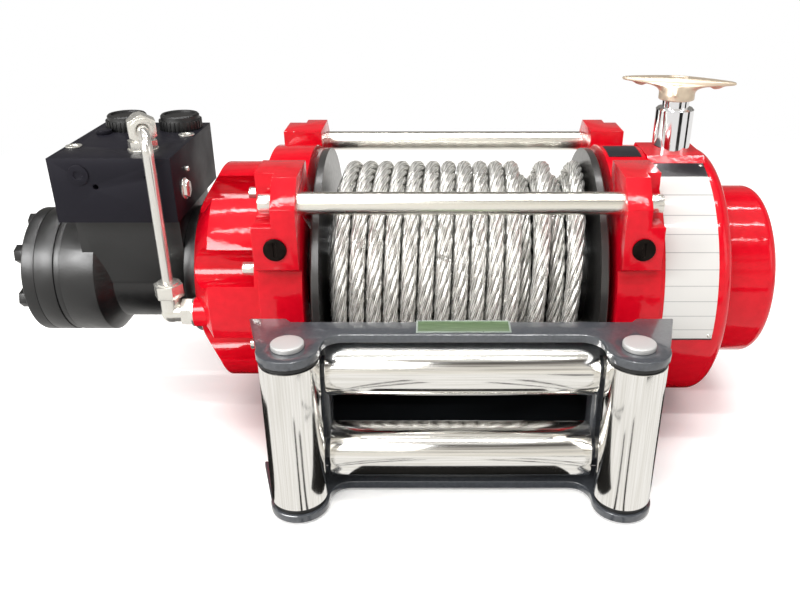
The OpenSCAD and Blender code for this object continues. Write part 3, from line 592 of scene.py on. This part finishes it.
# Black anodised aluminium: a violet black satin with the blasting just visible, drawn 0.7 mm
anodised, tree, shader, place = finish("black anodised aluminium", "1f1e24", 0.08, 0.42,
                                         **{"Specular IOR Level": 0.08})
blast = add(tree, "ShaderNodeTexNoise", {"Vector": place, "Scale": 1400.0, "Detail": 2.0})
pits = add(tree, "ShaderNodeBump", {"Height": blast.outputs[0], "Strength": 0.25,
                                    "Distance": 0.0001})
touched = add(tree, "ShaderNodeTexNoise", {"Vector": place, "Scale": 40.0, "Detail": 2.0})
touch = add(tree, "ShaderNodeMapRange", {0: touched.outputs[0],
                                         1: 0.3, 2: 0.7, 3: 0.36, 4: 0.48})
tree.links.new(pits.outputs[0], shader.inputs["Normal"])
tree.links.new(touch.outputs[0], shader.inputs["Roughness"])
soften("valve_block", 0.0009, anodised, "black_anodised")
soften("valve_block_screws", 0.0002, zinc, "zinc_steel")
# The plugs in front and on top are as black as the block, and the fittings on its right side
# are plated
plugs = soften("valve_block_plugs", 0.0003, anodised, "black_steel")
plugs.data.materials.append(zinc)
block_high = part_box("valve_block")[1]
for face in plugs.data.polygons:
    if face.center.x > block_high.x - 0.001:
        face.material_index = 1

# Port caps. Two push-in caps of black polyethylene keep dirt out of the ports until the hoses
# are fitted, with finger ribs round the side and a dished crown.


def another(piece, name, move):
    """A copy of a finished piece, with its own mesh moved by a matrix."""
    twin = bpy.data.objects.new(name, piece.data.copy())
    twin.data.transform(move)
    bpy.context.scene.collection.objects.link(twin)
    return twin


# Moulded polyethylene: dull black, with a faint leathery skin about 1 mm across
cap_plastic, tree, shader, place = finish("moulded black polyethylene", "121213", 0.0, 0.4)
leather = add(tree, "ShaderNodeTexVoronoi", {"Vector": place, "Scale": 950.0})
hide = add(tree, "ShaderNodeBump", {"Height": leather.outputs["Distance"], "Strength": 0.25,
                                    "Distance": 0.0001})
tree.links.new(hide.outputs[0], shader.inputs["Normal"])

cap_low, cap_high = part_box("port_cap_left")
cap_centre = (cap_low + cap_high) / 2
cap_sides = 60
cap_body = 0.0075
bpy.ops.object.select_all(action="DESELECT")
bpy.ops.mesh.primitive_cylinder_add(
    vertices=cap_sides, radius=0.0162, depth=cap_body,
    location=(cap_centre.x, cap_centre.y, block_high.z + cap_body / 2))
cap = begin("port_cap_ribbed_left")
bpy.ops.object.mode_set(mode="EDIT")


def is_rib(centre, normal):
    """Every second face round the side of the cap."""
    place = math.degrees(math.atan2(centre.y - cap_centre.y, centre.x - cap_centre.x))
    return abs(normal.z) < 0.1 and math.floor(place / (360 / cap_sides)) % 2 == 0


def is_crown(centre, normal):
    """The round top of the cap."""
    return normal.z > 0.9 and (centre - cap_centre).xy.length < 0.001


choose(cap, is_rib)
bpy.ops.mesh.extrude_region_shrink_fatten(TRANSFORM_OT_shrink_fatten={"value": 0.0007})
choose(cap, is_crown)
bpy.ops.mesh.inset(thickness=0.0009)
bpy.ops.mesh.extrude_region_move(TRANSFORM_OT_translate={"value": (0, 0, 0.003)})
bpy.ops.mesh.extrude_region_move(TRANSFORM_OT_translate={"value": (0, 0, 0.0012)})
bpy.ops.transform.resize(value=(0.93, 0.93, 1))
bpy.ops.mesh.inset(thickness=0.0022)
bpy.ops.mesh.extrude_region_move(TRANSFORM_OT_translate={"value": (0, 0, -0.0014)})
bpy.ops.mesh.inset(thickness=0.004)
bpy.ops.transform.translate(value=(0, 0, 0.0003))
bpy.ops.object.mode_set(mode="OBJECT")
round_edges(cap, 0.0003, angle=35)
second_cap = another(cap, "port_cap_ribbed_right",
                     Matrix.Translation((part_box("port_cap_right")[0].x - cap_low.x, 0, 0)))
dress(cap, "frame", "black_cap", cap_plastic, "port_cap_left")
dress(second_cap, "frame", "black_cap", cap_plastic, "port_cap_right")

# Brake line. A bent steel tube of 8 mm leads oil pressure from the valve block to the brake.
# Plated union nuts hold it in an elbow on the block and in one on the brake housing.

# Cold drawn tube, bright zinc: it mirrors in soft bands along its length, with faint drawing
# lines
bright_tube, tree, shader, place = finish("bright zinc plated tube", "d9d7d2", 0.75, 0.14)
drawn = add(tree, "ShaderNodeMapping", {"Vector": place, "Scale": (1.0, 1.0, 0.03)})
lines = add(tree, "ShaderNodeTexNoise", {"Vector": drawn.outputs[0], "Scale": 1500.0,
                                         "Detail": 2.0})
smear = add(tree, "ShaderNodeMapRange", {0: lines.outputs[0], 3: 0.10, 4: 0.22})
tree.links.new(smear.outputs[0], shader.inputs["Roughness"])

tube_top = Vector((-0.232, -0.033, 0.234))
tube_corner = Vector((-0.217, -0.067, 0.232))
tube_foot = Vector((-0.217, -0.067, 0.1117))
tube_radius = 0.004
tube_bend = 0.016
down = Vector((0, 0, -1))
tube_way = (tube_corner - tube_top).normalized()
# The mouth lies inside the upper nut
tube_mouth = tube_top + 0.0087 * tube_way
tube_turn = tube_way.angle(down)
bend_reach = tube_bend * math.tan(tube_turn / 2)
bend_start = tube_corner - bend_reach * tube_way
bend_centre = bend_start + tube_bend * (down - tube_way.dot(down) * tube_way).normalized()
bpy.ops.object.select_all(action="DESELECT")
bpy.ops.mesh.primitive_circle_add(vertices=32, radius=tube_radius, fill_type="NOTHING",
                                  location=tube_mouth,
                                  rotation=tube_way.to_track_quat("Z", "X").to_euler())
tube = begin("brake_tube")
bpy.ops.object.mode_set(mode="EDIT")
bpy.ops.mesh.select_all(action="SELECT")
bpy.ops.mesh.extrude_region_move(TRANSFORM_OT_translate={"value": bend_start - tube_mouth})
bpy.ops.mesh.spin(steps=16, angle=-tube_turn, center=bend_centre,
                  axis=tube_way.cross(down).normalized())
bpy.ops.mesh.extrude_region_move(TRANSFORM_OT_translate={
    "value": tube_foot - tube_corner - bend_reach * down})
bpy.ops.mesh.select_all(action="SELECT")
bpy.ops.mesh.remove_doubles(threshold=1e-6)
bpy.ops.mesh.fill_holes(sides=64)
bpy.ops.mesh.normals_make_consistent(inside=False)
bpy.ops.object.mode_set(mode="OBJECT")
bpy.ops.object.shade_smooth_by_angle(angle=math.radians(28))
dress(tube, "frame", "zinc_steel", bright_tube, "brake_line")

for node in ("upper_nut", "lower_nut"):
    soften(node, 0.0005, zinc, "zinc_steel")
for node in ("upper_elbow", "lower_elbow"):
    paint(node, zinc)

# Gearbox. A planetary gear in a round iron housing with a smaller end cover, both painted in
# the red enamel of the supports.
for node in ("gear_housing", "gear_end_cover"):
    paint(node, red_enamel)

# Plates on the gearbox and the right support. A thin sheet of white enamelled aluminium with a
# black head and foot and grey rules is bent round the gearbox and held by four small rivets,
# and a black one lies on the support's ring. Both are left bare.
sheet_white = "cfcdc9"
white_sheet, tree, shader, place = finish("white enamelled aluminium sheet", sheet_white, 0.0,
                                          0.3, **{"Coat Weight": 0.5, "Coat Roughness": 0.1})
# The rules are 0.5 mm wide, one every 11 mm
rule_width, rule_spacing = 0.0005, 0.011
heights = add(tree, "ShaderNodeSeparateXYZ", {0: place})
every = add(tree, "ShaderNodeMath", {0: heights.outputs["Z"], 1: rule_spacing},
            operation="MODULO")
rule = add(tree, "ShaderNodeMath", {0: every.outputs[0], 1: rule_width},
           operation="LESS_THAN")
ruled = add(tree, "ShaderNodeMix", {0: rule.outputs[0], 6: linear(sheet_white),
                                    7: linear("9c9b9a")}, data_type="RGBA")
tree.links.new(ruled.outputs[2], shader.inputs["Base Color"])
# The head and the foot are printed in black, a little duller than the sheet
black_ink, tree, shader, place = finish("black screen print", "1d1c22", 0.0, 0.36)
printed = add(tree, "ShaderNodeTexNoise", {"Vector": place, "Scale": 700.0, "Detail": 2.0})
matted = add(tree, "ShaderNodeMapRange", {0: printed.outputs[0], 3: 0.28, 4: 0.44})
tree.links.new(matted.outputs[0], shader.inputs["Roughness"])


def elevation(centre):
    """How far round the drum axis a point lies, in degrees up from the front."""
    return math.degrees(math.atan2(centre.z - axis_z, -centre.y))


rows_round = 480
sheet_wall = 0.0003


def bent_sheet(name, radius, x_low, x_high, low, high):
    """A sheet bent round the drum axis, between two places along it and two elevations."""
    bpy.ops.object.select_all(action="DESELECT")
    bpy.ops.mesh.primitive_cylinder_add(vertices=rows_round, radius=radius,
                                        depth=x_high - x_low, end_fill_type="NOTHING",
                                        rotation=(0, math.radians(90), 0),
                                        location=((x_low + x_high) / 2, 0, axis_z))
    piece = begin(name)
    bpy.ops.object.mode_set(mode="EDIT")
    choose(piece, lambda centre, normal: not low < elevation(centre) < high)
    bpy.ops.mesh.delete(type="FACE")
    bpy.ops.object.mode_set(mode="OBJECT")
    wall = piece.modifiers.new("wall", "SOLIDIFY")
    wall.thickness = sheet_wall
    wall.offset = 1
    bpy.ops.object.modifier_apply(modifier="wall")
    bpy.ops.object.shade_smooth_by_angle(angle=math.radians(28))
    return piece


# The foot is one row of faces high
sheet_low, sheet_high, head_low = -9, 75, 64.9
foot_high = sheet_low + 360 / rows_round
rating_sheet = bent_sheet("gearbox_plate", 0.09906, 0.1455, 0.1834, sheet_low, sheet_high)
dress(rating_sheet, "frame", "black_cap", white_sheet)
rating_sheet.data.materials.append(black_ink)
for face in rating_sheet.data.polygons:
    if not foot_high < elevation(face.center) < head_low:
        face.material_index = 1
ring_sheet = bent_sheet("support_plate", 0.10056, 0.1142, 0.1390, 79.5, 94.5)
dress(ring_sheet, "frame", "black_cap", black_ink)

# One rivet sits near each corner of the sheet


def join(pieces, name):
    """Joins pieces into the first of them."""
    bpy.ops.object.select_all(action="DESELECT")
    for piece in pieces:
        piece.select_set(True)
    bpy.context.view_layer.objects.active = pieces[0]
    bpy.ops.object.join()
    pieces[0].name = name
    return pieces[0]


bpy.ops.object.select_all(action="DESELECT")
bpy.ops.mesh.primitive_uv_sphere_add(segments=16, ring_count=8, radius=0.0015,
                                     scale=(1, 0.5, 1), location=(0, -0.0993, axis_z))
rivet = begin("rivet_pattern")
bpy.ops.object.shade_smooth()
copies = []
for x in (0.1478, 0.1811):
    for lift in (-6.9, 73.2):
        round_axis = (Matrix.Translation((x, 0, axis_z))
                      @ Matrix.Rotation(math.radians(-lift), 4, "X")
                      @ Matrix.Translation((0, 0, -axis_z)))
        copies.append(another(rivet, "rivet", round_axis))
bpy.data.objects.remove(rivet)
rivets = join(copies, "gearbox_plate_rivets")
dress(rivets, "frame", "zinc_steel", zinc)

# Clutch. A chromed steel sleeve on top of the gearbox holds the stem that lifts the gear out
# of mesh, and a nickel plated cast handle is pinned on the stem.

# Hard chrome: a mirror with a slightly blue tint
chrome, tree, shader, place = finish("polished hard chrome", "ededf0", 1.0, 0.04)
wiped = add(tree, "ShaderNodeTexNoise", {"Vector": place, "Scale": 120.0, "Detail": 2.0})
wipe = add(tree, "ShaderNodeMapRange", {0: wiped.outputs[0], 1: 0.35, 2: 0.7, 3: 0.05, 4: 0.12})
tree.links.new(wipe.outputs[0], shader.inputs["Roughness"])
for node in ("clutch_housing", "clutch_stem"):
    paint(node, chrome)

# Nickel over a rough casting: warm and creamy, blurred, with grain of about 1.5 mm
nickel, tree, shader, place = finish("nickel plated casting", "cfbfaa", 0.75, 0.4)
cast = add(tree, "ShaderNodeTexNoise", {"Vector": place, "Scale": 600.0, "Detail": 3.0})
knobbly = add(tree, "ShaderNodeBump", {"Height": cast.outputs[0], "Strength": 0.3,
                                       "Distance": 0.0003})
cloudy = add(tree, "ShaderNodeMapRange", {0: cast.outputs[0], 3: 0.34, 4: 0.48})
tree.links.new(knobbly.outputs[0], shader.inputs["Normal"])
tree.links.new(cloudy.outputs[0], shader.inputs["Roughness"])

handle_low, handle_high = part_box("clutch_handle")
handle_x = (handle_low.x + handle_high.x) / 2
collar_radius, collar_height = 0.0133, 0.0012
bpy.ops.object.select_all(action="DESELECT")
bpy.ops.mesh.primitive_cylinder_add(vertices=32, radius=collar_radius, depth=collar_height,
                                    location=(handle_x, 0, handle_low.z + collar_height / 2))
handle = begin("clutch_handle_cast")
bpy.ops.object.mode_set(mode="EDIT")
choose(handle, lambda centre, normal: normal.z > 0.9)
# Rings from the collar up into the wings: height, half length and half width, in mm
was_high, was_long, was_wide = 1.2, 13.3, 13.3
for high, long, wide in ((4.4, 13.3, 13.3), (5.2, 13.2, 13.0), (7.0, 13.6, 12.4),
                         (8.8, 15.2, 11.8), (10.3, 18.6, 11.2), (11.4, 23.5, 10.6),
                         (12.0, 28.5, 10.0), (12.3, 33.5, 9.4), (12.9, 41.0, 8.6),
                         (13.6, 41.8, 8.5), (14.9, 41.6, 8.4), (15.5, 40.6, 8.1),
                         (16.3, 30.0, 7.3), (17.0, 18.0, 6.2), (17.3, 9.0, 4.6)):
    rise = (high - was_high) / 1000
    bpy.ops.mesh.extrude_region_move(TRANSFORM_OT_translate={"value": (0, 0, rise)})
    bpy.ops.transform.resize(value=(long / was_long, wide / was_wide, 1))
    was_high, was_long, was_wide = high, long, wide
# The crown is dished
bpy.ops.mesh.inset(thickness=0.0014)
bpy.ops.mesh.extrude_region_move(TRANSFORM_OT_translate={"value": (0, 0, -0.0008)})
bpy.ops.mesh.inset(thickness=0.0012)
# A lug under each wing keeps the handle in its two working places
for end in (-1, 1):
    choose(handle, lambda centre, normal: normal.z < -0.4 and abs(centre.y) < 0.0024
           and 0.0245 < end * (centre.x - handle_x) < 0.0335)
    bpy.ops.mesh.extrude_region_move(TRANSFORM_OT_translate={"value": (0, 0, -0.0022)})
    bpy.ops.transform.resize(value=(0.5, 0.8, 1))
# A ridge stands on the front and the back of the hub, from the collar to the wings
bpy.ops.mesh.select_mode(type="VERT")
bpy.ops.mesh.select_all(action="DESELECT")
for face_side in (-1, 1):
    bm = bmesh.from_edit_mesh(handle.data)
    for vert in bm.verts:
        vert.select_set(abs(vert.co.x - handle_x) < 0.0004 and face_side * vert.co.y > 0.010
                        and 0.0045 < vert.co.z - handle_low.z < 0.0125)
    bmesh.update_edit_mesh(handle.data)
    bpy.ops.transform.translate(value=(0, face_side * 0.0018, 0))
    bpy.ops.mesh.select_all(action="DESELECT")
bpy.ops.object.mode_set(mode="OBJECT")
# The handle stands 19 degrees round from the line of the drum
handle.data.transform(Matrix.Translation((handle_x, 0, 0))
                      @ Matrix.Rotation(math.radians(-19), 4, "Z")
                      @ Matrix.Translation((-handle_x, 0, 0)))
bpy.ops.object.shade_smooth()
smooth = handle.modifiers.new("cast", "SUBSURF")
smooth.levels = smooth.render_levels = 2
bpy.ops.object.modifier_apply(modifier="cast")
dress(handle, "clutch", "nickel", nickel, "clutch_handle")

# Fairlead frame. Two laser cut steel plates and two folded sides are welded into a frame and
# powder coated in glossy dark grey. It is bolted to the lower pads through two spacers.

# Powder coat: dark grey, glossy, with an orange peel of about 2 mm
grey_coat, tree, shader, place = finish("glossy grey powder coat on steel", "3b3d41", 0.0, 0.3,
                                        **{"Coat Weight": 0.9, "Coat Roughness": 0.08})
peel = add(tree, "ShaderNodeTexNoise", {"Vector": place, "Scale": 450.0, "Detail": 2.0})
orange = add(tree, "ShaderNodeBump", {"Height": peel.outputs[0], "Strength": 0.25,
                                      "Distance": 0.0002})
shade = add(tree, "ShaderNodeValToRGB", {0: peel.outputs[0]},
            stops=((0.3, "3b3e43"), (0.7, "474a4f")))
tree.links.new(shade.outputs[0], shader.inputs["Base Color"])
tree.links.new(orange.outputs[0], shader.inputs["Normal"])
tree.links.new(orange.outputs[0], shader.inputs["Coat Normal"])
for node in ("fairlead_top_plate", "fairlead_bottom_plate", "fairlead_side_left",
             "fairlead_side_right", "fairlead_spacers"):
    soften(node, 0.0010, grey_coat, "frame_paint", segments=3)
soften("fairlead_bolts", 0.0006, zinc, "zinc_steel")

# A small plate of olive anodised aluminium with a pale edge is glued on the top plate. It is
# left bare.
olive, tree, shader, place = finish("olive anodised aluminium", "6b835f", 0.6, 0.34)
brushing = add(tree, "ShaderNodeMapping", {"Vector": place, "Scale": (0.03, 1.0, 1.0)})
brushed = add(tree, "ShaderNodeTexNoise", {"Vector": brushing.outputs[0], "Scale": 2000.0,
                                           "Detail": 2.0})
tinge = add(tree, "ShaderNodeValToRGB", {0: brushed.outputs[0]},
            stops=((0.3, "5d7552"), (0.7, "7b936e")))
tree.links.new(tinge.outputs[0], shader.inputs["Base Color"])
pale_edge, tree, shader, place = finish("pale anodised edge", "a9b4ac", 0.6, 0.3)
rubbed = add(tree, "ShaderNodeTexNoise", {"Vector": place, "Scale": 500.0, "Detail": 2.0})
rub = add(tree, "ShaderNodeMapRange", {0: rubbed.outputs[0], 3: 0.22, 4: 0.38})
tree.links.new(rub.outputs[0], shader.inputs["Roughness"])

plate_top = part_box("fairlead_top_plate")[1].z
bpy.ops.object.select_all(action="DESELECT")
bpy.ops.mesh.primitive_cube_add(size=1, scale=(0.062, 0.017, 0.0006),
                                location=(0.001, -0.1448, plate_top + 0.0003))
badge = begin("fairlead_bare_plate")
bpy.ops.object.mode_set(mode="EDIT")
choose(badge, lambda centre, normal: normal.z > 0.9)
bpy.ops.mesh.inset(thickness=0.0011)
bpy.ops.mesh.extrude_region_move(TRANSFORM_OT_translate={"value": (0, 0, -0.0002)})
bpy.ops.object.mode_set(mode="OBJECT")
round_edges(badge, 0.00015)
dress(badge, "frame", "frame_paint", pale_edge)
badge.data.materials.append(olive)
for face in badge.data.polygons:
    if face.normal.z > 0.9 and face.area > 0.0005:
        face.material_index = 1

# Roller pins. Turned steel pins with flat domed heads drop through the plates and hold the
# upright rollers. The level rollers turn on plain pins between the sides.

# Turned and zinc plated heads: a satin, nearly white, with turning rings too fine to see
satin_zinc, tree, shader, place = finish("satin zinc plate", "c2c1bf", 0.4, 0.42)
turned = add(tree, "ShaderNodeTexNoise", {"Vector": place, "Scale": 800.0, "Detail": 2.0})
satin = add(tree, "ShaderNodeMapRange", {0: turned.outputs[0], 3: 0.36, 4: 0.5})
tree.links.new(satin.outputs[0], shader.inputs["Roughness"])

pin_x, pin_y = 0.110, -0.173
head_height = 0.0034
shank_foot = 0.002
bpy.ops.object.select_all(action="DESELECT")
bpy.ops.mesh.primitive_cylinder_add(vertices=64, radius=0.0105, depth=head_height,
                                    location=(-pin_x, pin_y, plate_top + head_height / 2))
left_pin = begin("left_pin")
bpy.ops.object.mode_set(mode="EDIT")
# The head is domed in three steps, and the shank goes down from it through both plates
choose(left_pin, lambda centre, normal: normal.z > 0.9)
for margin, rise in ((0.0016, 0.0003), (0.0022, 0.0002), (0.0022, 0.00008)):
    bpy.ops.mesh.inset(thickness=margin)
    bpy.ops.transform.translate(value=(0, 0, rise))
choose(left_pin, lambda centre, normal: normal.z < -0.9)
bpy.ops.mesh.inset(thickness=0.0025)
bpy.ops.mesh.extrude_region_move(TRANSFORM_OT_translate={
    "value": (0, 0, shank_foot - plate_top)})
bpy.ops.object.mode_set(mode="OBJECT")
round_edges(left_pin, 0.0006, segments=3)
right_pin = another(left_pin, "right_pin", Matrix.Translation((2 * pin_x, 0, 0)))
pins = join([left_pin, right_pin], "upright_pins_turned")
dress(pins, "frame", "zinc_steel", satin_zinc, "upright_pins")
paint("level_pins", zinc)

# Thrust washers. Moulded rings of black nylon keep the upright rollers off the plates and lie
# loose on their pins.
nylon, tree, shader, place = finish("moulded black nylon", "111112", 0.0, 0.45)
speckle = add(tree, "ShaderNodeTexNoise", {"Vector": place, "Scale": 1200.0, "Detail": 2.0})
matt = add(tree, "ShaderNodeMapRange", {0: speckle.outputs[0], 3: 0.38, 4: 0.55})
tree.links.new(matt.outputs[0], shader.inputs["Roughness"])
paint("upright_washers", nylon)

# Rollers. Four polished steel tubes guide the rope: two upright and two level. The tube is
# drawn, so faint lines run along it, 1 mm apart as drawn here so that they show.
for nodes, bodies, stretch, kind in (
        (("roller_left", "roller_right"), ("left_upright_roller", "right_upright_roller"),
         (1.0, 1.0, 0.02), "polished upright tube"),
        (("roller_upper", "roller_lower"), ("upper_level_roller", "lower_level_roller"),
         (0.02, 1.0, 1.0), "polished level tube")):
    polished, tree, shader, place = finish(kind, "f2efe9", 1.0, 0.22)
    pulled = add(tree, "ShaderNodeMapping", {"Vector": place, "Scale": stretch})
    streaks = add(tree, "ShaderNodeTexNoise", {"Vector": pulled.outputs[0], "Scale": 900.0,
                                               "Detail": 3.0})
    groove = add(tree, "ShaderNodeBump", {"Height": streaks.outputs[0], "Strength": 0.08,
                                          "Distance": 0.0002})
    gleam = add(tree, "ShaderNodeMapRange", {0: streaks.outputs[0],
                                             1: 0.3, 2: 0.7, 3: 0.09, 4: 0.17})
    tint = add(tree, "ShaderNodeValToRGB", {0: streaks.outputs[0]},
               stops=((0.3, "e6e4df"), (0.7, "fbfaf8")))
    tree.links.new(groove.outputs[0], shader.inputs["Normal"])
    tree.links.new(gleam.outputs[0], shader.inputs["Roughness"])
    tree.links.new(tint.outputs[0], shader.inputs["Base Color"])
    for node, body in zip(nodes, bodies):
        soften(node, 0.0006, polished, "roller_steel", body=body)
